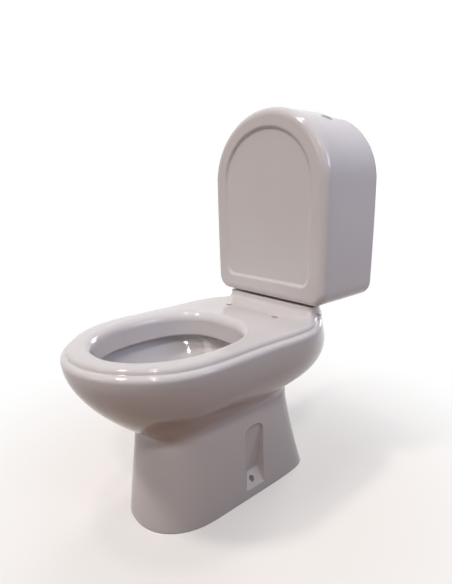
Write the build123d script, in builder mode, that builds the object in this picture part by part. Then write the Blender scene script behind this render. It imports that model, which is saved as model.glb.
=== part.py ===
from build123d import *
import math
import os

os.makedirs("parts", exist_ok=True)

# A close coupled toilet: china pan, arched china cistern and the water fittings inside it.
# Millimetres. +Z is up, -Y is the front, the wall is at +Y. The origin is on the floor at mid-length.

# Overall sizes
length = 680.0
deck_height = 393.0
bead_width = 375.0
foot_width = 217.0
waist_width = 213.0

# Rim: a rounded upper rim stands on a rounded bead, with a groove between them
groove_drop = 10.0
groove_depth = 12.0
bead_drop = 22.0
groove_land = 2.0
rim_edge_radius = 9.0
rim_widest_setback = 190.0
rim_straight = 249.0
hull_rear_to_wall = 55.0

# Pan body: heights where the hull meets the pedestal, and how far the pedestal stands back
neck_front_height = 194.0
neck_side_height = 221.0
neck_rear_height = 247.5
neck_setback = 142.0
foot_setback = 111.0
neck_rear_to_wall = 176.5
foot_rear_to_wall = 139.0
foot_widest_setback = 243.0
foot_straight = 54.0
china_wall = 12.0
deck_thickness = 18.0

# Bowl and its open flush rim
opening_side = 60.0
opening_front = 59.0
opening_rear_to_wall = 320.0
opening_widest_setback = 212.0
opening_lip_radius = 20.0
edge_search = 0.5
rim_wall = 8.0
rim_wall_radius = 4.0
rim_wall_drop = 57.0
channel_side = 27.5
channel_front = 31.0
channel_drop = 8.0
channel_rear_to_wall = 294.0
sump_height = 108.0
sump_width = 90.0
sump_front_to_wall = 467.0
sump_rear_to_wall = 382.0
bowl_wall = 9.0

# Trapway: from the sump, over the weir and down to the floor
trap_bore = 40.0
trap_wall = 10.0
trap_crown_height = 222.0
trap_low_height = 92.0
outlet_to_wall = 232.0
outlet_height = 10.0
outlet_spigot_radius = 48.5
outlet_spigot_length = 50.0
trap_throat_reach = 140.0
trap_crown_run = 80.0
trap_bend_radius = 44.0

# Cistern shelf, its inlet and the duct that feeds the rim
ledge_rise = 21.0
ledge_width = 270.0
ledge_front_to_wall = 179.0
ledge_rear_to_wall = 66.0
ledge_widest_to_wall = 166.0
ledge_sweep_front = 32.0
ledge_sweep_side = 4.0
ledge_sweep_rise = 14.0
valve_to_wall = 118.0
gasket_depth = 22.0
gasket_seat_radius = 43.5
bolt_x = 70.0
bolt_hole_radius = 6.5
bolt_pocket_radius = 18.0
shelf_thickness = 15.0
inlet_radius = 34.0
duct_width = 76.0
duct_height = 38.0
duct_wall = 11.0
rear_window_width = 170.0
rear_window_low = 292.0
rear_window_high = 362.0
rear_window_radius = 24.0
rear_window_reach = 130.0

# How full the plan outlines are: 2 is an ellipse, more is squarer
rim_front_power = 1.88
rim_rear_power = 1.6
neck_front_power = 2.2
neck_rear_power = 3.7
foot_rear_power = 6.85
opening_front_power = 2.1
opening_rear_power = 2.7
sump_power = 2.0
ledge_front_power = 5.0
ledge_rear_power = 1.8

# How fast the pan widens: waist to foot, neck to bead, and sump to rim
foot_front_flare = 1.13
foot_side_flare = 2.0
foot_rear_flare = 1.57
hull_front_swell = 1.73
hull_side_swell = 1.69
hull_rear_swell = 3.44
bowl_front_swell = 1.3
bowl_side_swell = 1.6
bowl_rear_swell = 0.8

# Holes for the seat and for the floor screws
seat_hole_spacing = 155.0
seat_hole_radius = 7.5
seat_holes_to_wall = 232.0
recess_to_wall = 328.0
recess_width = 53.0
recess_top = 174.0
recess_top_radius = 20.0
recess_depth = 22.0
recess_top_depth = 3.0
recess_backing_inset = 4.0
recess_pad_low = 22.0
recess_pad_high = 50.0
floor_screw_radius = 6.5
floor_screw_depth = 50.0

# Cistern
cistern_width = 353.0
cistern_base_width = 345.0
cistern_depth = 188.0
cistern_side_height = 270.0
arch_rise = 162.0
cistern_wall = 11.0
cistern_corner_radius = 36.0
cistern_front_radius = 18.0
cistern_rear_radius = 6.0
panel_border = 40.0
panel_depth = 5.0
panel_step = 6.0
buffer_thickness = 4.0
panel_corner_radius = 22.0
panel_floor_radius = 4.0
panel_rim_radius = 5.0
inside_radius = 12.0
fill_to_wall = 60.0
button_x = 96.0
button_to_wall = 86.0
cover_above_spring = 45.0

# Clearances: still pieces that fit together, sliding pieces, and soft pieces at rest on a seat
fit = 0.1
running_gap = 0.35
seat_gap = 0.3

# Service cover in the back of the cistern
window_width = 170.0
window_rise = 100.0
window_radius = 18.0
cover_flange = 16.0
cover_recess = 5.2
cover_skin = 3.0
cover_gasket_thickness = 1.2
cover_screw_radius = 2.0
cover_screw_head_radius = 4.0
cover_screw_head = 2.2
cover_screw_slot = 1.0
cover_screw_cross = 4.8
cover_screw_rise = 70.0
cover_plug_radius = 4.0
cover_plug_length = 16.0

# Flush button and its air pump
button_spot = 3.0
button_inside_spot = 1.0
bezel_radius = 13.5
bezel_thickness = 2.2
button_sleeve_radius = 11.8
button_bore = 10.2
button_dish = 0.8
button_travel = 8.0
button_sleeve_margin = 4.0
button_sleeve_reach = 16.0
button_washer_radius = 18.0
button_washer_thickness = 2.5
button_nut_radius = 20.0
button_nut_thickness = 6.0
bellows_cup_wall = 3.0
bellows_room = 24.0
bellows_gap = 1.0
bellows_fold = 2.5
bellows_skin = 0.8
button_bellows_folds = 6
nipple_radius = 2.6
nipple_bore = 1.5
nipple_length = 14.0

# Flush valve
valve_thread_radius = 28.0
hole_gap = 1.5
valve_bore = 22.0
valve_tail = 30.0
valve_flange_radius = 40.0
valve_flange_thickness = 6.0
valve_washer_thickness = 3.0
valve_lip_rise = 4.0
valve_lip_radius = 26.0
valve_nut_radius = 35.0
valve_nut_thickness = 11.0
gasket_edge_radius = 2.0
seal_margin = 5.0
plunger_seal_thickness = 4.0
plunger_radius = 19.0
plunger_skin = 2.5
plunger_flange_thickness = 4.0
overflow_height = 226.0
cage_rise = 104.0
cage_plate_thickness = 5.0
cage_ring_height = 6.0
cage_gap = 2.0
cage_column = 7.0
lifter_x = 29.5
lifter_radius = 8.5
lifter_base_height = 9.0
lifter_length = 30.0
lifter_folds = 5
collar_thickness = 4.0

# Air tube
tube_wall = 1.0
tube_grip_gap = 2.0
tube_lead = 44.0
tube_bow = 10.0
tube_bow_height = 62.0
tube_lean = 22.0
tube_lean_height = 118.0
tube_sway = 5.0
tube_bend_share = 0.45

# Fill valve
fill_x = -118.0
fill_thread_radius = 10.4
fill_lead_radius = 10.2
fill_tail = 42.0
fill_thread_below_nut = 2.0
fill_bore = 5.0
fill_flange_radius = 19.0
fill_flange_thickness = 4.0
fill_washer_thickness = 3.0
fill_nut_radius = 18.0
fill_nut_thickness = 8.0
filter_length = 22.0
filter_skin = 0.8
riser_radius = 12.0
head_radius = 19.0
fill_head_height = 205.0
fill_head_length = 23.0
fill_cap_skirt = 12.0
fill_cap_wall = 3.4
fill_cap_thickness = 6.0
diaphragm_thickness = 2.0
float_radius = 27.0
float_skin = 2.0
float_length = 54.0
float_travel = 22.0
float_clearance = 3.0
float_lug_thickness = 5.0
lug_width = 9.0
lever_arm = 38.0
lever_width = 7.0
lever_thickness = 6.0
lever_eye = 6.0
lug_length = 12.0
lug_thickness = 3.0
pin_rise = 10.0
pin_radius = 1.5
pin_margin = 1.5
slot_near = 5.0
slot_far = 14.0
rod_radius = 2.0
rod_slack = 1.4
rod_above = 12.0
rod_collar_radius = 4.0
rod_collar_length = 4.0
rod_collar_drop = 14.0

# Coupling bolts
bolt_radius = 4.0
bolt_head_radius = 9.0
bolt_head_height = 5.0
bolt_slot = 1.6
bolt_rubber_thickness = 4.0
bolt_overrun = 6.0
washer_margin = 4.0
buffer_radius = 15.0
shelf_washer_thickness = 2.0
wing_nut_height = 9.0
wing_hub_radius = 8.0
wing_span = 34.0
wing_thickness = 4.0
wing_drop = 6.0
wing_lean = 4.0

wall_y = length / 2
front_y = -length / 2
STANDING = (Align.CENTER, Align.CENTER, Align.MIN)
HANGING = (Align.CENTER, Align.CENTER, Align.MAX)
straight_steps = 3


def from_wall(distance):
    return wall_y - distance


def from_front(distance):
    return front_y + distance


def oval_points(front, rear, half_width, widest, front_power, rear_power, straight=0.0, count=24):
    """An egg-shaped plan outline: two half superellipses, joined by straight sides if it has any."""
    steps = straight_steps if straight else 0
    side = [widest + straight * k / straight_steps for k in range(steps + 1)]
    points = []
    for i in range(count):
        turn = 2 * math.pi * i / count
        across = math.sin(turn)
        along = math.cos(turn)
        if i == count // 4:
            points.extend((half_width, y) for y in side)
        elif i == 3 * count // 4:
            points.extend((-half_width, y) for y in reversed(side))
        else:
            power = front_power if along > 0 else rear_power
            start = side[0] if along > 0 else side[-1]
            reach = front - start if along > 0 else rear - start
            x = math.copysign(half_width * abs(across) ** (2 / power), across)
            points.append((x, start + reach * abs(along) ** (2 / power)))
    return points


def oval_sketch(height, outline):
    """A face with an egg-shaped outline, level at the given height."""
    with BuildSketch(Plane.XY.offset(height)) as level:
        with BuildLine():
            Spline(*oval_points(*outline), periodic=True)
        make_face()
    return level.sketch


def mix(low, high, share):
    return low + (high - low) * share


def share_between(value, low, high):
    return min(max((value - low) / (high - low), 0.0), 1.0)


bead_height = deck_height - bead_drop
bead_radius = groove_depth - groove_land
groove_height = deck_height - groove_drop
rim_widest = from_front(rim_widest_setback)
hull_rear = from_wall(hull_rear_to_wall)


def hull_outline(height, inset=0.0):
    """Plan outline of the pan's outer surface: a flared pedestal below and a swelling hull above it."""
    down = 1 - share_between(height, 0, neck_front_height)
    front_rise = share_between(height, neck_front_height, bead_height)
    side_rise = share_between(height, neck_side_height, bead_height)
    rear_rise = share_between(height, neck_rear_height, bead_height)
    front_swell = 1 - (1 - front_rise) ** hull_front_swell
    side_swell = 1 - (1 - side_rise) ** hull_side_swell
    rear_swell = (1 - (1 - rear_rise) ** hull_rear_swell) ** (1 / hull_rear_swell)
    foot_front = 1 - (1 - down) ** foot_front_flare
    pedestal_front = mix(from_front(neck_setback), from_front(foot_setback), foot_front)
    pedestal_rear = mix(from_wall(neck_rear_to_wall), from_wall(foot_rear_to_wall), down ** foot_rear_flare)
    pedestal_half = mix(waist_width / 2, foot_width / 2, down ** foot_side_flare)
    return (
        mix(pedestal_front, front_y, front_swell) + inset,
        mix(pedestal_rear, hull_rear, rear_swell) - inset,
        mix(pedestal_half, bead_width / 2, side_swell) - inset,
        mix(from_front(foot_widest_setback), rim_widest, side_rise),
        mix(neck_front_power, rim_front_power, front_rise),
        mix(mix(neck_rear_power, foot_rear_power, down), rim_rear_power, side_rise),
        mix(foot_straight, rim_straight, side_rise),
    )


def deck_outline(inset):
    """Plan outline of the rim at the deck, set in from the bead."""
    return (
        front_y + inset,
        hull_rear - inset,
        bead_width / 2 - inset,
        rim_widest,
        rim_front_power,
        rim_rear_power,
        rim_straight,
    )


def opening_outline(outset=0.0):
    """Plan outline of the bowl's mouth."""
    return (
        from_front(opening_front) - outset,
        from_wall(opening_rear_to_wall) + outset,
        bead_width / 2 - opening_side + outset,
        from_front(opening_widest_setback),
        opening_front_power,
        opening_rear_power,
    )


rim_wall_bottom = deck_height - rim_wall_drop
channel_top = deck_height - deck_thickness
sump_middle = from_wall((sump_front_to_wall + sump_rear_to_wall) / 2)


def bowl_outline(height, outset=0.0):
    """Plan outline of the bowl's inside: upright under the rim, then closing in to the sump."""
    rise = share_between(height, sump_height, rim_wall_bottom - channel_drop)
    front_share = rise ** bowl_front_swell
    side_share = rise ** bowl_side_swell
    rear_share = rise ** bowl_rear_swell
    return (
        mix(from_wall(sump_front_to_wall), from_front(channel_front), front_share) - outset,
        mix(from_wall(sump_rear_to_wall), from_wall(channel_rear_to_wall), rear_share) + outset,
        mix(sump_width / 2, bead_width / 2 - channel_side, side_share) + outset,
        mix(sump_middle, from_front(opening_widest_setback), rise),
        sump_power,
        mix(sump_power, opening_rear_power, rise),
    )


# Even steps in height keep the surfaces between the outlines fair
hull_steps = 18
bowl_steps = 10
ledge_steps = 4
hull_levels = [groove_height * k / hull_steps for k in range(hull_steps + 1)]
hollow_levels = [channel_top * k / hull_steps for k in range(hull_steps + 1)]
bowl_levels = [mix(sump_height, channel_top, k / bowl_steps) for k in range(bowl_steps + 1)]

valve_y = from_wall(valve_to_wall)
ledge_top = deck_height + ledge_rise
shelf_under = ledge_top - shelf_thickness


def ledge_outline(share):
    """Plan outline of the cistern shelf, swept out where it runs into the deck (share 0)."""
    sweep = 1 - math.sqrt(1 - (1 - share) ** 2)
    return (
        from_wall(ledge_front_to_wall) - ledge_sweep_front * sweep,
        from_wall(ledge_rear_to_wall),
        ledge_width / 2 + ledge_sweep_side * sweep,
        from_wall(ledge_widest_to_wall),
        ledge_front_power,
        ledge_rear_power,
    )


def recess_tool(grow, outer_x):
    """The hollow round the +X floor screw: a round-topped groove that deepens down to a sloped pad."""
    low = recess_pad_low if grow == 0 else 0
    with BuildPart() as tool:
        with BuildSketch(Plane.YZ) as side:
            with Locations((from_wall(recess_to_wall), (recess_top + grow + low) / 2)):
                Rectangle(recess_width + 2 * grow, recess_top + grow - low)
            fillet(side.vertices().group_by(Axis.Y)[-1], recess_top_radius)
        extrude(amount=outer_x)
        top_x = hull_outline(recess_top)[2] - recess_top_depth - grow
        deep_x = hull_outline(recess_pad_high)[2] - recess_depth - grow
        pad_x = hull_outline(recess_pad_low)[2] if grow == 0 else deep_x
        with BuildSketch(Plane.XZ.offset(-from_wall(recess_to_wall))):
            with BuildLine():
                Polyline(
                    (outer_x, recess_top + grow),
                    (top_x, recess_top + grow),
                    (deep_x, recess_pad_high),
                    (pad_x, low),
                    (outer_x, low),
                    close=True,
                )
            make_face()
        extrude(amount=recess_width, both=True, mode=Mode.INTERSECT)
    return tool.part


def floor_screw_plane(side):
    """Plane of the sloped pad in a floor screw recess, with its normal pointing out of the pan."""
    low_x = hull_outline(recess_pad_low)[2]
    high_x = hull_outline(recess_pad_high)[2] - recess_depth
    rise = recess_pad_high - recess_pad_low
    pad_middle = (
        side * (low_x + high_x) / 2,
        from_wall(recess_to_wall),
        (recess_pad_low + recess_pad_high) / 2,
    )
    return Plane(origin=pad_middle, x_dir=(0, 1, 0), z_dir=(side * rise, 0, low_x - high_x))


outlet_y = from_wall(outlet_to_wall)
duct_front = from_wall(channel_rear_to_wall)
duct_rear = valve_y + inlet_radius

with BuildLine(Plane.YZ) as trap_path:
    FilletPolyline(
        (sump_middle, sump_height),
        (outlet_y - trap_throat_reach, trap_low_height),
        (outlet_y - trap_crown_run, trap_crown_height),
        (outlet_y, trap_crown_height),
        (outlet_y, outlet_height),
        radius=trap_bend_radius,
    )
trap_start = Plane(origin=trap_path.line @ 0, z_dir=trap_path.line % 0)

# Upper rim, which stands in from the bead
with BuildPart() as upper_rim:
    add(oval_sketch(groove_height - bead_radius, deck_outline(groove_depth)))
    extrude(amount=groove_drop + bead_radius)
    fillet(upper_rim.edges().group_by(Axis.Z)[-1], rim_edge_radius)

# Solid china round the bowl, trapway, duct and floor screw recesses
with BuildPart() as bowl_shell:
    add(oval_sketch(sump_height - bowl_wall, bowl_outline(sump_height, bowl_wall)))
    for level in bowl_levels[1:]:
        add(oval_sketch(level, bowl_outline(level, bowl_wall)))
    loft()

with BuildPart() as trap_shell:
    with BuildSketch(trap_start):
        Circle(trap_bore + trap_wall)
    sweep(path=trap_path.line)
    with BuildSketch(Plane.XY.offset(outlet_height)):
        with Locations((0, outlet_y)):
            Circle(trap_bore + 2 * trap_wall)
            Circle(outlet_spigot_radius, mode=Mode.SUBTRACT)
    extrude(amount=outlet_spigot_length, mode=Mode.SUBTRACT)

with BuildPart() as duct_shell:
    with BuildSketch(Plane.XY.offset(channel_top - duct_height - duct_wall)):
        with Locations((0, (duct_front + duct_rear + duct_wall) / 2)):
            Rectangle(duct_width + 2 * duct_wall, duct_rear + duct_wall - duct_front)
    extrude(amount=duct_height + 2 * duct_wall)

with BuildPart() as ledge:
    add(oval_sketch(channel_top, ledge_outline(0)))
    for k in range(ledge_steps + 1):
        share = k / ledge_steps
        add(oval_sketch(deck_height + ledge_sweep_rise * share, ledge_outline(share)))
    add(oval_sketch(ledge_top, ledge_outline(1)))
    loft()

# Space inside the bowl, with the rim wall left standing in it, the trapway and the duct
with BuildPart() as bowl_space:
    for level in bowl_levels:
        add(oval_sketch(level, bowl_outline(level)))
    loft()
    with BuildSketch(Plane.XY.offset(rim_wall_bottom)):
        add(oval_sketch(0, opening_outline(rim_wall)))
    extrude(amount=channel_top - rim_wall_bottom, mode=Mode.SUBTRACT)

with BuildPart() as mouth_space:
    with BuildSketch(Plane.XY.offset(rim_wall_bottom)):
        add(oval_sketch(0, opening_outline()))
    extrude(amount=rim_wall_drop)

with BuildPart() as trap_space:
    with BuildSketch(trap_start):
        Circle(trap_bore)
    sweep(path=trap_path.line)

with BuildPart() as duct_space:
    with BuildSketch(Plane.XY.offset(channel_top - duct_height)):
        with Locations((0, (duct_front - bowl_wall + duct_rear) / 2)):
            Rectangle(duct_width, duct_rear - duct_front + bowl_wall)
    extrude(amount=duct_height)
    with Locations((0, valve_y, channel_top)):
        Cylinder(inlet_radius, ledge_top - channel_top, align=STANDING)
    with Locations((0, valve_y, ledge_top)):
        Cylinder(gasket_seat_radius, gasket_depth, align=HANGING)

# Bolt holes with pockets for their nuts, seat holes, and the holes in the recess pads
with BuildPart() as hole_space:
    for x in (-bolt_x, bolt_x):
        with Locations((x, valve_y, channel_top)):
            Cylinder(bolt_pocket_radius, shelf_under - channel_top, align=STANDING)
            Cylinder(bolt_hole_radius, ledge_top - channel_top, align=STANDING)
    with Locations((0, from_wall(seat_holes_to_wall), channel_top)):
        with GridLocations(seat_hole_spacing, 0, 2, 1):
            Cylinder(seat_hole_radius, deck_thickness, align=STANDING)
    for side in (-1, 1):
        with BuildSketch(floor_screw_plane(side)):
            Circle(floor_screw_radius)
        extrude(amount=-floor_screw_depth)

recess_back = recess_tool(china_wall, waist_width / 2 - recess_backing_inset)
recess_space = recess_tool(0, bead_width / 2)

with BuildPart() as pan:
    for level in hull_levels:
        add(oval_sketch(level, hull_outline(level)))
    loft()
    fillet(pan.edges().group_by(Axis.Z)[-1], bead_radius)
    add(upper_rim.part)

    # Hollow under the deck, open at the floor and at the back
    for level in hollow_levels:
        add(oval_sketch(level, hull_outline(level, china_wall)))
    loft(mode=Mode.SUBTRACT)
    with BuildSketch(Plane.XZ.offset(-wall_y)):
        with Locations((0, (rear_window_low + rear_window_high) / 2)):
            RectangleRounded(rear_window_width, rear_window_high - rear_window_low, rear_window_radius)
    extrude(amount=rear_window_reach, mode=Mode.SUBTRACT)

    add([bowl_shell.part, trap_shell.part, duct_shell.part, ledge.part])
    add([recess_back, mirror(recess_back, about=Plane.YZ, mode=Mode.PRIVATE)])
    add([bowl_space.part, mouth_space.part, trap_space.part, duct_space.part], mode=Mode.SUBTRACT)
    add([recess_space, mirror(recess_space, about=Plane.YZ, mode=Mode.PRIVATE)], mode=Mode.SUBTRACT)
    add(hole_space.part, mode=Mode.SUBTRACT)

    # Rounded lip of the bowl's mouth and rounded foot of the rim wall
    for height, radius in ((deck_height, opening_lip_radius), (rim_wall_bottom, rim_wall_radius)):
        level_edges = pan.edges().filter_by_position(Axis.Z, height - edge_search, height + edge_search)
        mouth_front = from_front(opening_front)
        fillet([e for e in level_edges if abs(e.bounding_box().min.Y - mouth_front) < edge_search], radius)
pan.part.label = "pan"
export_step(pan.part, "parts/pan.step")

cistern_base = ledge_top + buffer_thickness
cistern_floor = cistern_base + cistern_wall
spring_height = cistern_base + cistern_side_height
cistern_front = wall_y - cistern_depth
fill_y = from_wall(fill_to_wall)


def arch_sketch(y, inset, corner_radius):
    """The cistern's outline from the front: an arch on two sides that lean in towards the base."""
    half_spring = cistern_width / 2 - inset
    half_base = cistern_base_width / 2 - inset
    base = cistern_base + inset
    with BuildSketch(Plane.XZ.offset(-y)) as arch:
        with BuildLine():
            EllipticalCenterArc((0, spring_height), half_spring, arch_rise - inset, arc_size=180)
            TangentArc((-half_spring, spring_height), (-half_base, base), tangent=(0, -1))
            Line((-half_base, base), (half_base, base))
            TangentArc((half_spring, spring_height), (half_base, base), tangent=(0, -1))
        make_face()
        fillet(arch.vertices().group_by(Axis.Y)[0], corner_radius)
    return arch.sketch


# Flush button: on the +X shoulder, square to the arch
button_share = math.sqrt(1 - (button_x / (cistern_width / 2)) ** 2)
button_slope = (button_x / (cistern_width / 2) ** 2, button_share / arch_rise)
button_plane = Plane(
    origin=(button_x, from_wall(button_to_wall), spring_height + arch_rise * button_share),
    x_dir=(0, 1, 0),
    z_dir=(button_slope[0], 0, button_slope[1]),
)
window_height = spring_height + cover_above_spring
cover_width = window_width + 2 * cover_flange - 2 * fit
cover_height = window_rise + 2 * cover_flange - 2 * fit
cover_radius = window_radius + cover_flange / 2
cover_screw_x = (window_width + cover_flange) / 2
cover_screw_z = cover_screw_rise / 2
cover_screw_places = [
    (-cover_screw_x, -cover_screw_z),
    (-cover_screw_x, cover_screw_z),
    (cover_screw_x, -cover_screw_z),
    (cover_screw_x, cover_screw_z),
]

with BuildPart() as cistern_space:
    inside_back = arch_sketch(wall_y - cistern_wall, cistern_wall, cistern_corner_radius - cistern_wall)
    extrude(inside_back, amount=cistern_depth - panel_depth - 2 * cistern_wall, dir=(0, -1, 0))
    fillet(cistern_space.faces().filter_by(Axis.Y).edges(), inside_radius)

with BuildPart() as cistern:
    extrude(arch_sketch(wall_y, 0, cistern_corner_radius), amount=cistern_depth, dir=(0, -1, 0))
    fillet(cistern.faces().sort_by(Axis.Y)[0].edges(), cistern_front_radius)
    fillet(cistern.faces().sort_by(Axis.Y)[-1].edges(), cistern_rear_radius)

    # Sunk panel with a soft step
    add(arch_sketch(cistern_front, panel_border, panel_corner_radius))
    panel_inset = panel_border + panel_step
    add(arch_sketch(cistern_front + panel_depth, panel_inset, panel_corner_radius - panel_step))
    loft(mode=Mode.SUBTRACT)
    panel_floor = cistern.faces().filter_by(Axis.Y).sort_by(Axis.Y)[1]
    fillet(panel_floor.edges(), panel_floor_radius)
    panel_rim = cistern.faces().sort_by(Axis.Y)[0].inner_wires()[0].edges()
    fillet(panel_rim, panel_rim_radius)

    add(cistern_space.part, mode=Mode.SUBTRACT)

    # Service window with a sunk seat for its cover, and holes for the cover's plugs
    with BuildSketch(Plane.XZ.offset(-wall_y)):
        with Locations((0, window_height)):
            RectangleRounded(cover_width + 2 * fit, cover_height + 2 * fit, cover_radius)
    extrude(amount=cover_recess, mode=Mode.SUBTRACT)
    with BuildSketch(Plane.XZ.offset(-wall_y)):
        with Locations((0, window_height)):
            RectangleRounded(window_width, window_rise, window_radius)
            with Locations(*cover_screw_places):
                Circle(cover_plug_radius + fit)
    extrude(amount=cistern_wall, mode=Mode.SUBTRACT)

    # Flat spots, outside and inside, and the hole for the flush button
    with Locations(button_plane):
        with Locations((0, 0, -button_spot)):
            Cylinder(bezel_radius + fit, cistern_wall, align=STANDING, mode=Mode.SUBTRACT)
        with Locations((0, 0, -cistern_wall + button_inside_spot)):
            Cylinder(button_nut_radius + fit, cistern_wall, align=HANGING, mode=Mode.SUBTRACT)
        Cylinder(button_sleeve_radius + fit, 4 * cistern_wall, mode=Mode.SUBTRACT)

    # Holes in the floor for the flush valve, the fill valve and the coupling bolts
    with Locations((0, valve_y, cistern_base)):
        Cylinder(valve_thread_radius + hole_gap, 2 * cistern_wall, align=STANDING, mode=Mode.SUBTRACT)
    with Locations((fill_x, fill_y, cistern_base)):
        Cylinder(fill_thread_radius + hole_gap, 2 * cistern_wall, align=STANDING, mode=Mode.SUBTRACT)
    with Locations((-bolt_x, valve_y, cistern_base), (bolt_x, valve_y, cistern_base)):
        Cylinder(bolt_hole_radius, 2 * cistern_wall, align=STANDING, mode=Mode.SUBTRACT)
cistern.part.label = "cistern"
export_step(cistern.part, "parts/cistern.step")


def ring(x, y, low, high, outer, inner=0.0):
    """An upright round disc, or a tube where it has an inner radius."""
    with Locations((x, y, low)):
        Cylinder(outer, high - low, align=STANDING)
        if inner > 0:
            Cylinder(inner, high - low, align=STANDING, mode=Mode.SUBTRACT)


def bellows_sketch(plane, low, high, folds, crest, root, skin):
    """Half section of a rubber bellows with a closed top, for turning about the plane's upright axis."""
    step = (high - low) / (2 * folds)
    outside = [(root if k % 2 == 0 else crest, low + k * step) for k in range(2 * folds + 1)]
    inside = [(radius - skin, min(height, high - skin)) for radius, height in reversed(outside)]
    with BuildSketch(plane) as section:
        with BuildLine():
            Polyline(*outside, (0, high), (0, high - skin), *inside, close=True)
        make_face()
    return section.sketch


# Service cover in the back of the cistern
with BuildPart() as cover_gasket:
    with BuildSketch(Plane.XZ.offset(-wall_y + cover_recess)):
        with Locations((0, window_height)):
            RectangleRounded(cover_width, cover_height, cover_radius)
            RectangleRounded(
                window_width + 2 * fit,
                window_rise + 2 * fit,
                window_radius,
                mode=Mode.SUBTRACT,
            )
            with Locations(*cover_screw_places):
                Circle(cover_screw_radius + fit, mode=Mode.SUBTRACT)
    extrude(amount=-cover_gasket_thickness)
cover_gasket.part.label = "cover_gasket"
export_step(cover_gasket.part, "parts/cover_gasket.step")

with BuildPart() as rear_cover:
    with BuildSketch(Plane.XZ.offset(-wall_y)):
        with Locations((0, window_height)):
            RectangleRounded(cover_width, cover_height, cover_radius)
    extrude(amount=cover_recess - cover_gasket_thickness)
    with BuildSketch(Plane.XZ.offset(-wall_y)):
        with Locations((0, window_height)):
            RectangleRounded(window_width - 2 * fit, window_rise - 2 * fit, window_radius)
    extrude(amount=cistern_wall)
    with BuildSketch(Plane.XZ.offset(-wall_y + cover_skin)):
        with Locations((0, window_height)):
            RectangleRounded(
                window_width - 2 * cover_skin,
                window_rise - 2 * cover_skin,
                window_radius - cover_skin,
            )
    extrude(amount=cistern_wall, mode=Mode.SUBTRACT)
    with BuildSketch(Plane.XZ.offset(-wall_y)):
        with Locations((0, window_height)):
            with Locations(*cover_screw_places):
                Circle(cover_screw_head_radius + fit)
    extrude(amount=cover_screw_head, mode=Mode.SUBTRACT)
    with BuildSketch(Plane.XZ.offset(-wall_y)):
        with Locations((0, window_height)):
            with Locations(*cover_screw_places):
                Circle(cover_screw_radius + fit)
    extrude(amount=cover_recess, mode=Mode.SUBTRACT)
rear_cover.part.label = "rear_cover"
export_step(rear_cover.part, "parts/rear_cover.step")

with BuildPart() as cover_plugs:
    with BuildSketch(Plane.XZ.offset(-wall_y + cover_recess)):
        with Locations((0, window_height)):
            with Locations(*cover_screw_places):
                Circle(cover_plug_radius)
                Circle(cover_screw_radius + fit, mode=Mode.SUBTRACT)
    extrude(amount=cover_plug_length)
cover_plugs.part.label = "cover_plugs"
export_step(cover_plugs.part, "parts/cover_plugs.step")

with BuildPart() as cover_screws:
    with BuildSketch(Plane.XZ.offset(-wall_y)):
        with Locations((0, window_height)):
            with Locations(*cover_screw_places):
                Circle(cover_screw_head_radius)
    extrude(amount=cover_screw_head)
    with BuildSketch(Plane.XZ.offset(-wall_y)):
        with Locations((0, window_height)):
            with Locations(*cover_screw_places):
                Circle(cover_screw_radius)
    extrude(amount=cover_recess + cover_plug_length - cover_screw_radius)
    with BuildSketch(Plane.XZ.offset(-wall_y)):
        with Locations((0, window_height)):
            with Locations(*cover_screw_places):
                Rectangle(cover_screw_cross, cover_screw_slot)
                Rectangle(cover_screw_slot, cover_screw_cross)
    extrude(amount=cover_screw_head / 2, mode=Mode.SUBTRACT)
cover_screws.part.label = "cover_screws"
export_step(cover_screws.part, "parts/cover_screws.step")

# Flush button and its air pump, on an axis square to the shoulder
button_seat_inside = -cistern_wall + button_inside_spot
washer_low = button_seat_inside - button_washer_thickness
nut_low = washer_low - button_nut_thickness
sleeve_end = nut_low - button_sleeve_reach
cup_end = sleeve_end - bellows_room - bellows_cup_wall
button_foot = sleeve_end + button_travel + button_sleeve_margin
bezel_top = -button_spot + bezel_thickness
button_axis = Axis(button_plane.origin, button_plane.z_dir)
bellows_crest = button_bore - bellows_gap

with BuildPart(button_plane) as button_bezel:
    ring(0, 0, -button_spot, bezel_top, bezel_radius)
    ring(0, 0, sleeve_end, -button_spot, button_sleeve_radius)
    fillet(button_bezel.edges().sort_by(button_axis)[-1], bezel_thickness / 2)
    with Locations((0, 0, sleeve_end)):
        Cylinder(button_bore, bezel_top - sleeve_end, align=STANDING, mode=Mode.SUBTRACT)
button_bezel.part.label = "button_bezel"
export_step(button_bezel.part, "parts/button_bezel.step")

with BuildPart(button_plane) as flush_button:
    ring(0, 0, button_foot, bezel_top - button_dish, button_bore - running_gap)
    fillet(flush_button.edges().sort_by(button_axis)[-1], button_dish)
flush_button.part.label = "flush_button"
export_step(flush_button.part, "parts/flush_button.step")

with BuildPart(button_plane) as button_washer:
    ring(0, 0, washer_low, button_seat_inside, button_washer_radius, button_sleeve_radius + fit)
button_washer.part.label = "button_washer"
export_step(button_washer.part, "parts/button_washer.step")

with BuildPart(button_plane) as button_nut:
    with BuildSketch(button_plane.offset(nut_low)):
        RegularPolygon(button_nut_radius, 6)
        Circle(button_sleeve_radius + fit, mode=Mode.SUBTRACT)
    extrude(amount=button_nut_thickness)
button_nut.part.label = "button_nut"
export_step(button_nut.part, "parts/button_nut.step")

with BuildPart(button_plane) as bellows_cup:
    ring(0, 0, cup_end, nut_low, button_sleeve_radius + fit + bellows_cup_wall)
    with Locations((0, 0, cup_end + bellows_cup_wall)):
        Cylinder(button_sleeve_radius + fit, nut_low - cup_end, align=STANDING, mode=Mode.SUBTRACT)
    ring(0, 0, cup_end - nipple_length, cup_end, nipple_radius)
    with Locations((0, 0, cup_end - nipple_length)):
        Cylinder(nipple_bore, nipple_length + bellows_cup_wall, align=STANDING, mode=Mode.SUBTRACT)
bellows_cup.part.label = "bellows_cup"
export_step(bellows_cup.part, "parts/bellows_cup.step")

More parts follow.
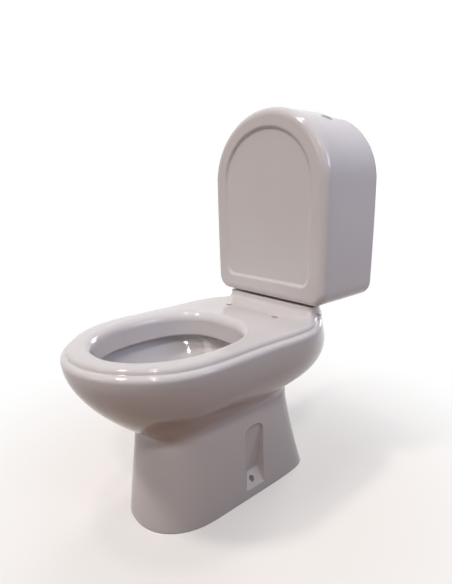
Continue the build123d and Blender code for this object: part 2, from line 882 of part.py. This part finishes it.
bellows_plane = Plane(button_plane.origin, x_dir=button_plane.x_dir, z_dir=button_plane.y_dir * -1)
with BuildPart() as air_bellows:
    bellows_section = bellows_sketch(
        bellows_plane,
        cup_end + bellows_cup_wall,
        button_foot - seat_gap,
        button_bellows_folds,
        bellows_crest,
        bellows_crest - bellows_fold,
        bellows_skin,
    )
    revolve(bellows_section, axis=button_axis)
air_bellows.part.label = "air_bellows"
export_step(air_bellows.part, "parts/air_bellows.step")

# Flush valve: a threaded body clamped through the cistern floor, with a cage that guides the plunger
valve_seat = cistern_floor + valve_washer_thickness + valve_flange_thickness
seal_low = valve_seat + valve_lip_rise
plunger_low = seal_low + plunger_seal_thickness
cage_plate = valve_seat + cage_rise
lifter_low = cage_plate + cage_plate_thickness
collar_low = lifter_low + lifter_base_height + lifter_length
nipple_height = lifter_low + lifter_base_height / 2
seal_radius = valve_lip_radius + seal_margin

with BuildPart() as flush_valve_washer:
    ring(0, valve_y, cistern_floor, cistern_floor + valve_washer_thickness, valve_flange_radius,
         valve_thread_radius + fit)
flush_valve_washer.part.label = "flush_valve_washer"
export_step(flush_valve_washer.part, "parts/flush_valve_washer.step")

with BuildPart() as flush_valve_body:
    ring(0, valve_y, cistern_base - valve_tail, valve_seat, valve_thread_radius)
    ring(0, valve_y, valve_seat - valve_flange_thickness, valve_seat, valve_flange_radius)
    ring(0, valve_y, valve_seat, seal_low, valve_lip_radius)
    with Locations((0, valve_y, cistern_base - valve_tail)):
        Cylinder(valve_bore, valve_tail + seal_low - cistern_base, align=STANDING, mode=Mode.SUBTRACT)
flush_valve_body.part.label = "flush_valve_body"
export_step(flush_valve_body.part, "parts/flush_valve_body.step")

with BuildPart() as flush_valve_backnut:
    with BuildSketch(Plane.XY.offset(cistern_base - valve_nut_thickness)):
        with Locations((0, valve_y)):
            RegularPolygon(valve_nut_radius, 8)
            Circle(valve_thread_radius + fit, mode=Mode.SUBTRACT)
    extrude(amount=valve_nut_thickness)
flush_valve_backnut.part.label = "flush_valve_backnut"
export_step(flush_valve_backnut.part, "parts/flush_valve_backnut.step")

with BuildPart() as coupling_gasket:
    gasket_low = ledge_top - gasket_depth
    ring(0, valve_y, gasket_low, cistern_base, gasket_seat_radius - fit, valve_nut_radius + fit)
    fillet(coupling_gasket.edges().filter_by(GeomType.CIRCLE), gasket_edge_radius)
coupling_gasket.part.label = "coupling_gasket"
export_step(coupling_gasket.part, "parts/coupling_gasket.step")

with BuildPart() as valve_cage:
    ring(0, valve_y, valve_seat, valve_seat + cage_ring_height, valve_flange_radius, seal_radius + cage_gap)
    ring(0, valve_y, cage_plate, lifter_low, valve_flange_radius, plunger_radius + running_gap)
    with Locations((0, valve_y, valve_seat)):
        with PolarLocations(valve_flange_radius - cage_column / 2 - fit, 3, start_angle=60):
            Box(cage_column, cage_column, cage_plate - valve_seat + fit, align=STANDING)
valve_cage.part.label = "valve_cage"
export_step(valve_cage.part, "parts/valve_cage.step")

with BuildPart() as plunger_seal:
    ring(0, valve_y, seal_low, plunger_low, seal_radius, plunger_radius - plunger_skin)
plunger_seal.part.label = "plunger_seal"
export_step(plunger_seal.part, "parts/plunger_seal.step")

with BuildPart() as flush_plunger:
    ring(0, valve_y, plunger_low, plunger_low + plunger_flange_thickness, seal_radius)
    ring(0, valve_y, plunger_low, cistern_floor + overflow_height, plunger_radius)
    ring(0, valve_y, collar_low + seat_gap, collar_low + seat_gap + collar_thickness, valve_flange_radius)
    with Locations((0, valve_y, plunger_low)):
        Cylinder(plunger_radius - plunger_skin, overflow_height, align=STANDING, mode=Mode.SUBTRACT)
flush_plunger.part.label = "flush_plunger"
export_step(flush_plunger.part, "parts/flush_plunger.step")

with BuildPart() as lifter_base:
    ring(lifter_x, valve_y, lifter_low, lifter_low + lifter_base_height, lifter_radius)
    with Locations(Plane(origin=(lifter_x, valve_y, nipple_height), z_dir=(1, 0, 0))):
        Cylinder(nipple_radius, lifter_radius + nipple_length, align=STANDING)
        Cylinder(nipple_bore, lifter_radius + nipple_length, align=STANDING, mode=Mode.SUBTRACT)
    with Locations((lifter_x, valve_y, nipple_height)):
        Cylinder(nipple_bore, lifter_base_height, align=STANDING, mode=Mode.SUBTRACT)
lifter_base.part.label = "lifter_base"
export_step(lifter_base.part, "parts/lifter_base.step")

lifter_plane = Plane(origin=(lifter_x, valve_y, 0), x_dir=(1, 0, 0), z_dir=(0, -1, 0))
with BuildPart() as lifter_bellows:
    lifter_section = bellows_sketch(
        lifter_plane,
        lifter_low + lifter_base_height,
        collar_low,
        lifter_folds,
        lifter_radius,
        lifter_radius - bellows_fold,
        bellows_skin,
    )
    revolve(lifter_section, axis=Axis((lifter_x, valve_y, 0), (0, 0, 1)))
lifter_bellows.part.label = "lifter_bellows"
export_step(lifter_bellows.part, "parts/lifter_bellows.step")

# Air tube from the button's cup to the lifter, slipped over a nipple at each end
button_y = from_wall(button_to_wall)
cup_nipple = button_plane.from_local_coords((0, 0, cup_end - tube_grip_gap))
cup_lead = button_plane.from_local_coords((0, 0, cup_end - tube_lead))
lifter_nipple_x = lifter_x + lifter_radius
tube_route = [
    Vector(lifter_nipple_x + tube_grip_gap, valve_y, nipple_height),
    Vector(lifter_nipple_x + tube_lead, valve_y, nipple_height),
    Vector(lifter_nipple_x + tube_lead + tube_bow, valve_y + tube_sway, nipple_height + tube_bow_height),
    Vector(lifter_nipple_x + tube_lead - tube_lean, button_y - tube_sway, nipple_height + tube_lean_height),
    cup_lead,
    cup_nipple,
]
tube_radii = []
for before, corner, after in zip(tube_route, tube_route[1:], tube_route[2:]):
    half_turn = math.radians((corner - before).get_angle(after - corner)) / 2
    short_leg = min((corner - before).length, (after - corner).length)
    tube_radii.append(tube_bend_share * short_leg / math.tan(half_turn))
with BuildLine() as tube_path:
    FilletPolyline(*tube_route, radius=tube_radii)
with BuildPart() as air_tube:
    with BuildSketch(Plane(origin=tube_path.line @ 0, z_dir=tube_path.line % 0)):
        Circle(nipple_radius + fit + tube_wall)
        Circle(nipple_radius + fit, mode=Mode.SUBTRACT)
    sweep(path=tube_path.line)
air_tube.part.label = "air_tube"
export_step(air_tube.part, "parts/air_tube.step")
print("air tube length", round(tube_path.wires()[0].length, 1))
print("air tube bends", [round(radius, 1) for radius in tube_radii])

# Fill valve: a riser on a threaded tail, a float that slides on it and a lever that the float lifts
fill_flange = cistern_floor + fill_washer_thickness
tail_low = cistern_base - fill_tail
thread_low = cistern_base - fill_nut_thickness - fill_thread_below_nut
head_low = cistern_floor + fill_head_height
head_top = head_low + fill_head_length
cap_low = head_top - fill_cap_skirt
diaphragm_top = head_top + diaphragm_thickness
cap_top = diaphragm_top + fill_cap_thickness
pin_height = cap_top + pin_rise
float_low = head_low - float_clearance - float_travel - float_length
float_top = float_low + float_length
rod_x = fill_x + lever_arm

with BuildPart() as fill_valve_washer:
    ring(fill_x, fill_y, cistern_floor, fill_flange, fill_flange_radius, fill_thread_radius + fit)
fill_valve_washer.part.label = "fill_valve_washer"
export_step(fill_valve_washer.part, "parts/fill_valve_washer.step")

with BuildPart() as fill_valve_body:
    ring(fill_x, fill_y, tail_low, thread_low, fill_lead_radius)
    ring(fill_x, fill_y, thread_low, fill_flange, fill_thread_radius)
    ring(fill_x, fill_y, fill_flange, fill_flange + fill_flange_thickness, fill_flange_radius)
    ring(fill_x, fill_y, fill_flange, head_low, riser_radius)
    ring(fill_x, fill_y, head_low, head_top, head_radius)
    with Locations((fill_x, fill_y, tail_low)):
        Cylinder(fill_bore, head_top - tail_low, align=STANDING, mode=Mode.SUBTRACT)
fill_valve_body.part.label = "fill_valve_body"
export_step(fill_valve_body.part, "parts/fill_valve_body.step")

with BuildPart() as fill_valve_backnut:
    with BuildSketch(Plane.XY.offset(cistern_base - fill_nut_thickness)):
        with Locations((fill_x, fill_y)):
            RegularPolygon(fill_nut_radius, 6)
            Circle(fill_thread_radius + fit, mode=Mode.SUBTRACT)
    extrude(amount=fill_nut_thickness)
fill_valve_backnut.part.label = "fill_valve_backnut"
export_step(fill_valve_backnut.part, "parts/fill_valve_backnut.step")

with BuildPart() as inlet_filter:
    filter_radius = fill_bore - fit
    ring(fill_x, fill_y, tail_low, tail_low + filter_length, filter_radius, filter_radius - filter_skin)
inlet_filter.part.label = "inlet_filter"
export_step(inlet_filter.part, "parts/inlet_filter.step")

with BuildPart() as fill_diaphragm:
    ring(fill_x, fill_y, head_top, diaphragm_top, head_radius - fit)
fill_diaphragm.part.label = "fill_diaphragm"
export_step(fill_diaphragm.part, "parts/fill_diaphragm.step")

with BuildPart() as fill_valve_cap:
    ring(fill_x, fill_y, cap_low, cap_top, head_radius + fit + fill_cap_wall)
    with Locations((fill_x, fill_y, cap_low)):
        Cylinder(head_radius + fit, diaphragm_top - cap_low, align=STANDING, mode=Mode.SUBTRACT)
    with Locations((fill_x, fill_y, cap_top)):
        with GridLocations(0, lever_width + 2 * running_gap + lug_thickness, 1, 2):
            Box(lug_length, lug_thickness, pin_rise + lug_length / 2, align=STANDING)
    with Locations(Plane(origin=(fill_x, fill_y, pin_height), z_dir=(0, 1, 0))):
        Cylinder(pin_radius + fit, 2 * head_radius, mode=Mode.SUBTRACT)
fill_valve_cap.part.label = "fill_valve_cap"
export_step(fill_valve_cap.part, "parts/fill_valve_cap.step")

with BuildPart() as lever_pin:
    with Locations(Plane(origin=(fill_x, fill_y, pin_height), z_dir=(0, 1, 0))):
        Cylinder(pin_radius, lever_width + 2 * running_gap + 2 * lug_thickness + 2 * pin_margin)
lever_pin.part.label = "lever_pin"
export_step(lever_pin.part, "parts/lever_pin.step")

with BuildPart() as float_lever:
    with BuildSketch(Plane.XY.offset(pin_height - lever_thickness / 2)):
        with Locations((fill_x - lug_length / 2, fill_y)):
            Rectangle(lug_length / 2 + lever_arm + slot_far, lever_width, align=(Align.MIN, Align.CENTER))
        with Locations((rod_x + (slot_far - slot_near) / 2, fill_y)):
            SlotOverall(slot_near + slot_far + 2 * rod_radius + lever_eye, 2 * rod_radius + lever_eye)
            SlotOverall(slot_near + slot_far, 2 * rod_radius + rod_slack, mode=Mode.SUBTRACT)
    extrude(amount=lever_thickness)
    with Locations(Plane(origin=(fill_x, fill_y, pin_height), z_dir=(0, 1, 0))):
        Cylinder(pin_radius + fit, 2 * head_radius, mode=Mode.SUBTRACT)
float_lever.part.label = "float_lever"
export_step(float_lever.part, "parts/float_lever.step")

with BuildPart() as float_cup:
    ring(fill_x, fill_y, float_low, float_top, float_radius)
    with Locations((fill_x, fill_y, float_low)):
        Cylinder(float_radius - float_skin, float_length - float_skin, align=STANDING, mode=Mode.SUBTRACT)
        Cylinder(riser_radius + running_gap + float_skin, float_length, align=STANDING)
        Cylinder(riser_radius + running_gap, float_length, align=STANDING, mode=Mode.SUBTRACT)
    with Locations((fill_x + float_radius - float_skin, fill_y, float_top)):
        Box(lever_arm - float_radius + float_skin + 2 * rod_radius, lug_width, float_lug_thickness,
            align=(Align.MIN, Align.CENTER, Align.MAX))
    with Locations((rod_x, fill_y, float_top)):
        Cylinder(rod_radius + fit, 2 * float_lug_thickness, mode=Mode.SUBTRACT)
float_cup.part.label = "float_cup"
export_step(float_cup.part, "parts/float_cup.step")

with BuildPart() as float_rod:
    ring(rod_x, fill_y, float_top - float_lug_thickness, pin_height + rod_above, rod_radius)
    ring(rod_x, fill_y, float_top, float_top + rod_collar_length, rod_collar_radius)
    for low in (pin_height - rod_collar_drop, pin_height + rod_above):
        ring(rod_x, fill_y, low, low + rod_collar_length, rod_collar_radius)
float_rod.part.label = "float_rod"
export_step(float_rod.part, "parts/float_rod.step")

# Bolts that hold the cistern down on its shelf
head_seat = cistern_floor + bolt_rubber_thickness
wing_top = shelf_under - shelf_washer_thickness

with BuildPart() as coupling_bolts:
    for x in (-bolt_x, bolt_x):
        ring(x, valve_y, head_seat, head_seat + bolt_head_height, bolt_head_radius)
        ring(x, valve_y, wing_top - wing_nut_height - bolt_overrun, head_seat, bolt_radius)
        with Locations((x, valve_y, head_seat + bolt_head_height)):
            Box(2 * bolt_head_radius, bolt_slot, bolt_head_height, mode=Mode.SUBTRACT)
coupling_bolts.part.label = "coupling_bolts"
export_step(coupling_bolts.part, "parts/coupling_bolts.step")

with BuildPart() as bolt_rubber_washers:
    for x in (-bolt_x, bolt_x):
        ring(x, valve_y, cistern_floor, head_seat, bolt_head_radius + washer_margin, bolt_radius + fit)
bolt_rubber_washers.part.label = "bolt_rubber_washers"
export_step(bolt_rubber_washers.part, "parts/bolt_rubber_washers.step")

with BuildPart() as cistern_buffers:
    for x in (-bolt_x, bolt_x):
        ring(x, valve_y, ledge_top, cistern_base, buffer_radius, bolt_radius + fit)
cistern_buffers.part.label = "cistern_buffers"
export_step(cistern_buffers.part, "parts/cistern_buffers.step")

with BuildPart() as shelf_washers:
    for x in (-bolt_x, bolt_x):
        ring(x, valve_y, wing_top, shelf_under, bolt_head_radius + washer_margin, bolt_radius + fit)
shelf_washers.part.label = "shelf_washers"
export_step(shelf_washers.part, "parts/shelf_washers.step")

with BuildPart() as wing_nuts:
    for x in (-bolt_x, bolt_x):
        with BuildSketch(Plane.XZ.offset(-valve_y)):
            with BuildLine():
                Polyline(
                    (x, wing_top - wing_nut_height),
                    (x + wing_span / 2 - wing_lean, wing_top - wing_nut_height - wing_drop),
                    (x + wing_span / 2, wing_top - wing_nut_height / 2),
                    (x, wing_top - wing_lean),
                    (x - wing_span / 2, wing_top - wing_nut_height / 2),
                    (x - wing_span / 2 + wing_lean, wing_top - wing_nut_height - wing_drop),
                    close=True,
                )
            make_face()
        extrude(amount=wing_thickness / 2, both=True)
        ring(x, valve_y, wing_top - wing_nut_height, wing_top, wing_hub_radius)
        with Locations((x, valve_y, wing_top)):
            Cylinder(bolt_radius + fit, 4 * wing_nut_height, mode=Mode.SUBTRACT)
wing_nuts.part.label = "wing_nuts"
export_step(wing_nuts.part, "parts/wing_nuts.step")
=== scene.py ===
import math

import bpy
from mathutils import Matrix, Vector


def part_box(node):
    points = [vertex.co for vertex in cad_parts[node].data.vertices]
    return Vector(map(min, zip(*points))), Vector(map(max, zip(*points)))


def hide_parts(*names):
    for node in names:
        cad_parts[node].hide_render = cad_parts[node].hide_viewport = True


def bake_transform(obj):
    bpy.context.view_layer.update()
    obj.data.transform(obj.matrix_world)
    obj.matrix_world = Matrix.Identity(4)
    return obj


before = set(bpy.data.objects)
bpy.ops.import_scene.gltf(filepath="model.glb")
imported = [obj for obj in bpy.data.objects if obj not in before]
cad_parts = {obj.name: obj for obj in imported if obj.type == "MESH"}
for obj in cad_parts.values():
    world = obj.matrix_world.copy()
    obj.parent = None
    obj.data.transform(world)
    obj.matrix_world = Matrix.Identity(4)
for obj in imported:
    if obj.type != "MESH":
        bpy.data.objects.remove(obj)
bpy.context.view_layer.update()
button_low, button_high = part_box("button_bezel")

# Camera: stands to the right of the front, a little above the cistern's middle, and looks down at the bowl.
# Place in metres, angles in degrees, focal length in the photograph's pixels.
EYE = (0.7211, -0.5827, 0.6762)
TURN = 49.6
TILT = 13.365
ROLL = -1.421
FOCAL_PIXELS = 434.16
PHOTO_HEIGHT = 584
SENSOR = 36.0
NEAR_CLIP = 0.02

# Glaze: the radius that it rounds edges to, and how far from the bezel's middle that starts and is full
GLAZE_ROUND = 0.004
POCKET_CRISP = 0.026
POCKET_ROUND = 0.036

# Floor: its side, how far it lies below the foot, and how far out it starts to turn white and is white
FLOOR_SIDE = 12.0
FLOOR_DROP = 0.0005
SHADOW_NEAR = 0.25
SHADOW_FAR = 0.95

# Lamps: place and aim in metres, width in metres, watts, tint, and the angle in degrees that the light fills
LAMPS = {
    "ceiling_left": ((-0.7, -2.45, 5.0), (0, 0, 0.4), 0.62, 98.0, "#fff7f1", 180),
    "ceiling_right": ((2.94, -2.78, 5.0), (0, 0, 0.4), 0.62, 70.0, "#fff7f1", 180),
    "ceiling_middle": ((-0.05, -0.66, 5.0), (0, 0, 0.4), 0.47, 20.0, "#fff7f1", 180),
    "window_side": ((2.4, 1.0, 1.9), (0.17, 0.25, 0.8), 1.0, 1.0, "#cfdaff", 32),
    "rear_soft": ((-0.8, 2.6, 1.2), (0, 0.2, 0.5), 1.4, 30.0, "#ffffff", 180),
    "room_front": ((-0.6, -3.2, 1.9), (0, 0.15, 0.65), 1.2, 8.0, "#fff4ec", 180),
}


def linear(code):
    """A colour written as sRGB hex, in the linear light that shaders use."""
    parts = [int(code[k:k + 2], 16) / 255 for k in (1, 3, 5)]
    return tuple(v / 12.92 if v <= 0.04045 else ((v + 0.055) / 1.055) ** 2.4 for v in parts) + (1.0,)


def add(tree, kind, links=(), **settings):
    """One shader node: its settings, then (its socket, another node's output) links."""
    node = tree.nodes.new(kind)
    for name, value in settings.items():
        if name in node.inputs:
            node.inputs[name].default_value = value
        else:
            setattr(node, name, value)
    for socket, source in links:
        tree.links.new(source, node.inputs[socket])
    return node


def material(name):
    """A new material, its tree, its Principled shader and the object's own coordinates in metres."""
    made = bpy.data.materials.new(name)
    made.use_nodes = True
    tree = made.node_tree
    place = add(tree, "ShaderNodeTexCoord").outputs["Object"]
    return made, tree, tree.nodes["Principled BSDF"], place


def per_mm(size):
    """Pattern scale, in repeats per metre, of a pattern whose repeat is given in millimetres."""
    return 1000.0 / size


# Glazed vitreous china, fired white: a wet gloss over a faintly warm white body. The glaze rounds the
# edges over, swells slowly where it flowed and holds a few pin-head specks. The button's pocket is ground,
# so its edge is crisp.
china, tree, shader, place = material("glazed_vitreous_china")
flow = add(tree, "ShaderNodeTexNoise", [("Vector", place)], Scale=per_mm(160), Detail=2.0)
body = add(
    tree,
    "ShaderNodeMix",
    [("Factor", flow.outputs["Fac"])],
    data_type="RGBA",
    A=linear("#d6d0cf"),
    B=linear("#ddd8d7"),
)
specks = add(tree, "ShaderNodeTexVoronoi", [("Vector", place)], Scale=per_mm(55))
speck = add(
    tree,
    "ShaderNodeMapRange",
    [("Value", specks.outputs["Distance"])],
    **{"From Min": 0.006, "From Max": 0.016, "To Min": 1.0, "To Max": 0.0},
)
specked = add(
    tree,
    "ShaderNodeMix",
    [("Factor", speck.outputs["Result"]), ("A", body.outputs["Result"])],
    data_type="RGBA",
    B=linear("#b9b0aa"),
)
gloss = add(
    tree,
    "ShaderNodeMapRange",
    [("Value", flow.outputs["Fac"])],
    **{"To Min": 0.04, "To Max": 0.12},
)
off_button = add(tree, "ShaderNodeVectorMath", [(0, place)], operation="DISTANCE")
off_button.inputs[1].default_value = (Vector(button_low) + Vector(button_high)) / 2
rounding = add(
    tree,
    "ShaderNodeMapRange",
    [("Value", off_button.outputs["Value"])],
    **{"From Min": POCKET_CRISP, "From Max": POCKET_ROUND, "To Max": GLAZE_ROUND},
)
rounded = add(tree, "ShaderNodeBevel", [("Radius", rounding.outputs["Result"])], samples=6)
swell = add(tree, "ShaderNodeTexNoise", [("Vector", place)], Scale=per_mm(38), Detail=1.0)
ripple = add(
    tree,
    "ShaderNodeBump",
    [("Height", swell.outputs["Fac"]), ("Normal", rounded.outputs["Normal"])],
    Strength=0.2,
    Distance=0.00015,
)
tree.links.new(specked.outputs["Result"], shader.inputs["Base Color"])
tree.links.new(gloss.outputs["Result"], shader.inputs["Roughness"])
tree.links.new(ripple.outputs["Normal"], shader.inputs["Normal"])
shader.inputs["IOR"].default_value = 1.52

# Satin chrome plated on moulded plastic: a soft grey sheen that shows the room only as a blur.
chrome, tree, shader, place = material("satin_chromed_plastic")
cloud = add(tree, "ShaderNodeTexNoise", [("Vector", place)], Scale=per_mm(3), Detail=3.0)
haze = add(
    tree,
    "ShaderNodeMapRange",
    [("Value", cloud.outputs["Fac"])],
    **{"To Min": 0.44, "To Max": 0.58},
)
tree.links.new(haze.outputs["Result"], shader.inputs["Roughness"])
shader.inputs["Base Color"].default_value = linear("#b3b0af")
shader.inputs["Metallic"].default_value = 1.0

# Zinc-plated steel, passivated: cool grey with faint yellow clouds, hazy where the plating is thin.
zinc, tree, shader, place = material("zinc_plated_steel")
cloud = add(tree, "ShaderNodeTexNoise", [("Vector", place)], Scale=per_mm(9), Detail=4.0)
tone = add(
    tree,
    "ShaderNodeMix",
    [("Factor", cloud.outputs["Fac"])],
    data_type="RGBA",
    A=linear("#b0ad9d"),
    B=linear("#c7c8c8"),
)
haze = add(
    tree,
    "ShaderNodeMapRange",
    [("Value", cloud.outputs["Fac"])],
    **{"To Min": 0.18, "To Max": 0.46},
)
tree.links.new(tone.outputs["Result"], shader.inputs["Base Color"])
tree.links.new(haze.outputs["Result"], shader.inputs["Roughness"])
shader.inputs["Metallic"].default_value = 1.0


def moulded(name, low, high, rough, grain, depth):
    """A moulded material: two near shades, a wandering roughness, and a skin of grain mm and depth metres."""
    made, tree, shader, place = material(name)
    cloud = add(tree, "ShaderNodeTexNoise", [("Vector", place)], Scale=per_mm(24), Detail=3.0)
    tone = add(
        tree,
        "ShaderNodeMix",
        [("Factor", cloud.outputs["Fac"])],
        data_type="RGBA",
        A=linear(low),
        B=linear(high),
    )
    wander = add(
        tree,
        "ShaderNodeMapRange",
        [("Value", cloud.outputs["Fac"])],
        **{"To Min": rough, "To Max": rough + 0.15},
    )
    skin = add(tree, "ShaderNodeTexNoise", [("Vector", place)], Scale=per_mm(grain), Detail=2.0)
    bump = add(tree, "ShaderNodeBump", [("Height", skin.outputs["Fac"])], Strength=0.3, Distance=depth)
    tree.links.new(tone.outputs["Result"], shader.inputs["Base Color"])
    tree.links.new(wander.outputs["Result"], shader.inputs["Roughness"])
    tree.links.new(bump.outputs["Normal"], shader.inputs["Normal"])
    return made


# ABS, moulded white: an even satin with a fine spark-eroded skin.
abs_white = moulded("moulded_white_abs", "#e1e0dc", "#eeede9", 0.36, 0.9, 0.00012)
# Acetal, moulded grey-white: waxy and a little cold.
acetal = moulded("moulded_acetal", "#c3c9cd", "#d3d8db", 0.28, 1.4, 0.00008)
# Polypropylene, moulded blue-grey: dull from the tool.
polypropylene = moulded("moulded_polypropylene", "#8a95a0", "#9ba5af", 0.42, 1.1, 0.00012)
# EPDM rubber, pressed black: dull, with a dusty grey bloom in patches.
rubber = moulded("pressed_epdm_rubber", "#19191b", "#2f2f31", 0.58, 0.8, 0.0002)
# Silicone rubber, moulded milky: soft light passes a short way into it.
silicone = moulded("moulded_silicone", "#bfc0bc", "#d7d7d3", 0.33, 1.6, 0.0001)
shader = silicone.node_tree.nodes["Principled BSDF"]
shader.inputs["Subsurface Weight"].default_value = 0.25
shader.inputs["Subsurface Radius"].default_value = (0.004, 0.004, 0.004)

FINISHES = {
    china: ("pan", "cistern"),
    chrome: ("button_bezel", "flush_button"),
    zinc: ("cover_screws", "lever_pin", "coupling_bolts", "shelf_washers", "wing_nuts"),
    abs_white: ("rear_cover", "cover_plugs", "bellows_cup", "float_cup", "inlet_filter"),
    acetal: ("flush_valve_body", "valve_cage", "flush_plunger", "lifter_base", "fill_valve_body",
             "fill_valve_cap", "float_lever", "float_rod"),
    polypropylene: ("button_nut", "flush_valve_backnut", "fill_valve_backnut"),
    rubber: ("cover_gasket", "button_washer", "flush_valve_washer", "coupling_gasket", "plunger_seal",
             "fill_valve_washer", "fill_diaphragm", "bolt_rubber_washers", "cistern_buffers"),
    silicone: ("air_bellows", "lifter_bellows", "air_tube"),
}
for finish, nodes in FINISHES.items():
    for node in nodes:
        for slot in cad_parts[node].material_slots:
            slot.material = finish


def bellows(node):
    """A copy of a bellows part's mesh as its own object, set in world place; the part itself is hidden."""
    folds = bpy.data.objects.new(node + "_folds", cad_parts[node].data.copy())
    bpy.context.collection.objects.link(folds)
    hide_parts(node)
    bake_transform(folds)


bellows("air_bellows")
bellows("lifter_bellows")


def seen(tree):
    """1 on rays from the camera and on those that come by way of a shiny or clear surface, otherwise 0."""
    ray = add(tree, "ShaderNodeLightPath").outputs
    mirrored = add(
        tree,
        "ShaderNodeMath",
        [(0, ray["Is Glossy Ray"]), (1, ray["Is Transmission Ray"])],
        operation="MAXIMUM",
    )
    either = add(
        tree,
        "ShaderNodeMath",
        [(0, ray["Is Camera Ray"]), (1, mirrored.outputs[0])],
        operation="MAXIMUM",
    )
    return either.outputs[0]


# Floor: matt paint that shows as white, with the object's shadow near the foot. The light that it throws
# up at the undersides is brown, as off a timber floor.
floor_paint, tree, shader, place = material("matt_studio_paint")
shader.inputs["Base Color"].default_value = linear("#f3ece6")
shader.inputs["Roughness"].default_value = 0.8
thrown = add(tree, "ShaderNodeBsdfDiffuse", Color=linear("#755034"))
white = add(tree, "ShaderNodeEmission", Color=linear("#ffffff"), Strength=1.0)
away = add(tree, "ShaderNodeVectorMath", [(0, place)], operation="LENGTH")
fade = add(
    tree,
    "ShaderNodeMapRange",
    [("Value", away.outputs["Value"])],
    interpolation_type="SMOOTHSTEP",
    **{"From Min": SHADOW_NEAR, "From Max": SHADOW_FAR, "To Min": 0.3, "To Max": 1.0},
)
shown = add(
    tree,
    "ShaderNodeMixShader",
    [(0, fade.outputs["Result"]), (1, shader.outputs[0]), (2, white.outputs[0])],
)
surface = add(
    tree,
    "ShaderNodeMixShader",
    [(0, seen(tree)), (1, thrown.outputs[0]), (2, shown.outputs[0])],
)
tree.links.new(surface.outputs[0], tree.nodes["Material Output"].inputs["Surface"])
bpy.ops.mesh.primitive_plane_add(size=FLOOR_SIDE, location=(0, 0, -FLOOR_DROP))
floor = bpy.context.object
floor.name = "studio_floor"
floor.data.materials.append(floor_paint)

# World: soft light that dims towards the horizon, and plain white where the eye looks past the floor
world = bpy.data.worlds.new("studio")
bpy.context.scene.world = world
world.use_nodes = True
tree = world.node_tree
tree.nodes.clear()
sky = add(tree, "ShaderNodeTexCoord").outputs["Generated"]
height = add(tree, "ShaderNodeSeparateXYZ", [(0, sky)])
dusk = add(
    tree,
    "ShaderNodeMapRange",
    [("Value", height.outputs["Z"])],
    **{"To Min": 0.08, "To Max": 0.5},
)
fill = add(
    tree,
    "ShaderNodeBackground",
    [("Strength", dusk.outputs["Result"])],
    Color=linear("#eaeff9"),
)
white = add(tree, "ShaderNodeBackground", Color=linear("#ffffff"), Strength=1.0)
around = add(
    tree,
    "ShaderNodeMixShader",
    [(0, seen(tree)), (1, fill.outputs[0]), (2, white.outputs[0])],
)
add(tree, "ShaderNodeOutputWorld", [("Surface", around.outputs[0])])

for name, (place, aim, width, watts, tint, spread) in LAMPS.items():
    light = bpy.data.lights.new(name, "AREA")
    light.shape = "DISK"
    light.size = width
    light.energy = watts
    light.spread = math.radians(spread)
    light.color = linear(tint)[:3]
    lamp = bpy.data.objects.new(name, light)
    lamp.location = place
    lamp.rotation_euler = (Vector(aim) - Vector(place)).to_track_quat("-Z", "Y").to_euler()
    bpy.context.collection.objects.link(lamp)

turn, tilt, roll = (math.radians(v) for v in (TURN, TILT, ROLL))
forward = Vector((-math.sin(turn) * math.cos(tilt), math.cos(turn) * math.cos(tilt), -math.sin(tilt)))
level = Vector((math.cos(turn), math.sin(turn), 0))
upright = level.cross(forward)
across = math.cos(roll) * level + math.sin(roll) * upright
above = -math.sin(roll) * level + math.cos(roll) * upright
eye = bpy.data.cameras.new("photo_camera")
eye.sensor_fit = "VERTICAL"
eye.sensor_height = SENSOR
eye.lens = FOCAL_PIXELS * SENSOR / PHOTO_HEIGHT
eye.clip_start = NEAR_CLIP
camera = bpy.data.objects.new("photo_camera", eye)
camera.matrix_world = Matrix.Translation(EYE) @ Matrix((across, above, -forward)).transposed().to_4x4()
bpy.context.collection.objects.link(camera)
bpy.context.scene.camera = camera

bpy.context.scene.view_settings.view_transform = "Standard"
